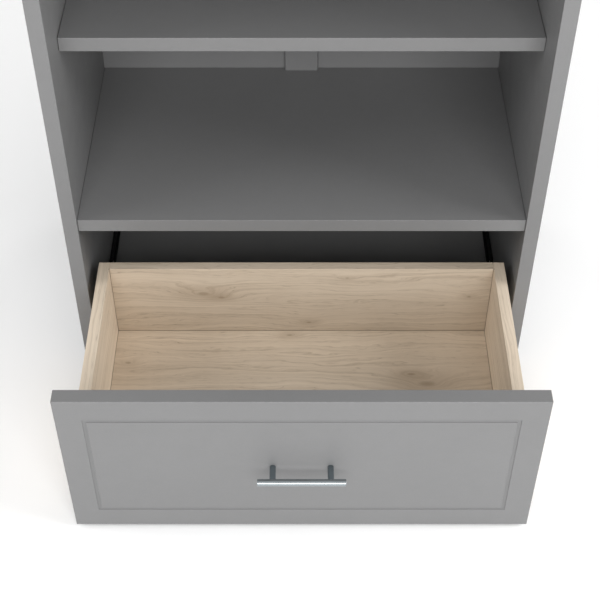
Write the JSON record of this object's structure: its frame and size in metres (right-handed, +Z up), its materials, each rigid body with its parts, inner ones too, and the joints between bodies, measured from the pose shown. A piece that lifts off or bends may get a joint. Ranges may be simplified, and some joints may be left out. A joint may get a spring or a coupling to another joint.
{
  "type": "open storage cabinet with drawer",
  "caption": "Tall open shelving cabinet with adjustable shelves on pins above one wide inset drawer on full-extension ball-bearing slides, with a bar handle.",
  "frame": {"origin": "on the floor, in the middle of the width and halfway between the handle's front and the side panels' rear edges with the drawer drawn out 384.7 mm, which is 25.9 mm behind the side panels' front edges", "axes": "+X to the right seen from the front, +Y towards the wall, +Z up"},
  "size_m": [0.838, 0.8982, 2.0543],
  "materials": {
    "grey_board": "satin grey laminate on particle board",
    "drawer_front_board": "satin grey, routed face",
    "grey_hardboard": "satin grey hardboard",
    "light_oak_board": "matte light oak grain",
    "black_steel": "black electrocoat",
    "zinc_steel": "zinc plated",
    "nickel_bar": "satin nickel",
    "nickel_post": "satin nickel",
    "black_plastic": "moulded polyethylene"
  },
  "bodies": {
    "carcass": {"left_side_panel": "grey_board", "right_side_panel": "grey_board", "top_panel": "grey_board", "fixed_shelf": "grey_board", "bottom_panel": "grey_board", "back_panel_left": "grey_hardboard", "back_panel_right": "grey_hardboard", "centre_stile_upper": "grey_board", "centre_stile_lower": "grey_board", "adjustable_shelf_1": "grey_board", "adjustable_shelf_2": "grey_board", "adjustable_shelf_3": "grey_board", "adjustable_shelf_4": "grey_board", "shelf_pin_1_left_front": "zinc_steel", "shelf_pin_1_left_rear": "zinc_steel", "shelf_pin_1_right_front": "zinc_steel", "shelf_pin_1_right_rear": "zinc_steel", "shelf_pin_2_left_front": "zinc_steel", "shelf_pin_2_left_rear": "zinc_steel", "shelf_pin_2_right_front": "zinc_steel", "shelf_pin_2_right_rear": "zinc_steel", "shelf_pin_3_left_front": "zinc_steel", "shelf_pin_3_left_rear": "zinc_steel", "shelf_pin_3_right_front": "zinc_steel", "shelf_pin_3_right_rear": "zinc_steel", "shelf_pin_4_left_front": "zinc_steel", "shelf_pin_4_left_rear": "zinc_steel", "shelf_pin_4_right_front": "zinc_steel", "shelf_pin_4_right_rear": "zinc_steel", "floor_glide_left_front": "black_plastic", "floor_glide_left_rear": "black_plastic", "floor_glide_right_front": "black_plastic", "floor_glide_right_rear": "black_plastic", "anti_tip_bracket": "zinc_steel", "anti_tip_screw_left": "zinc_steel", "anti_tip_screw_right": "zinc_steel", "slide_outer_left": "black_steel", "slide_outer_right": "black_steel", "slide_screw_case_left_front": "zinc_steel", "slide_screw_case_left_rear": "zinc_steel", "slide_screw_case_right_front": "zinc_steel", "slide_screw_case_right_rear": "zinc_steel"},
    "drawer": {"drawer_front": "drawer_front_board", "drawer_side_left": "light_oak_board", "drawer_side_right": "light_oak_board", "drawer_back": "light_oak_board", "drawer_floor": "light_oak_board", "handle_bar": "nickel_bar", "handle_post_left": "nickel_post", "handle_post_right": "nickel_post", "handle_screw_left": "zinc_steel", "handle_screw_right": "zinc_steel", "slide_inner_left": "black_steel", "slide_inner_right": "black_steel", "slide_screw_drawer_left_front": "zinc_steel", "slide_screw_drawer_left_rear": "zinc_steel", "slide_screw_drawer_right_front": "zinc_steel", "slide_screw_drawer_right_rear": "zinc_steel"},
    "slide_middle_left": {"slide_middle_left": "black_steel"},
    "slide_middle_right": {"slide_middle_right": "black_steel"}
  },
  "joints": [
    {"name": "drawer_travel", "type": "slide", "parent": "carcass", "child": "drawer", "axis": [0, -1, 0], "range_m": [-0.3847, 0.0183]},
    {"name": "middle_left_travel", "type": "slide", "parent": "carcass", "child": "slide_middle_left", "axis": [0, -1, 0], "range_m": [-0.1924, 0.0092]},
    {"name": "middle_right_travel", "type": "slide", "parent": "carcass", "child": "slide_middle_right", "axis": [0, -1, 0], "range_m": [-0.1924, 0.0092]}
  ],
  "couplings": [
    {"joint": "middle_left_travel", "follows": "drawer_travel", "ratio": 0.5},
    {"joint": "middle_right_travel", "follows": "drawer_travel", "ratio": 0.5}
  ]
}
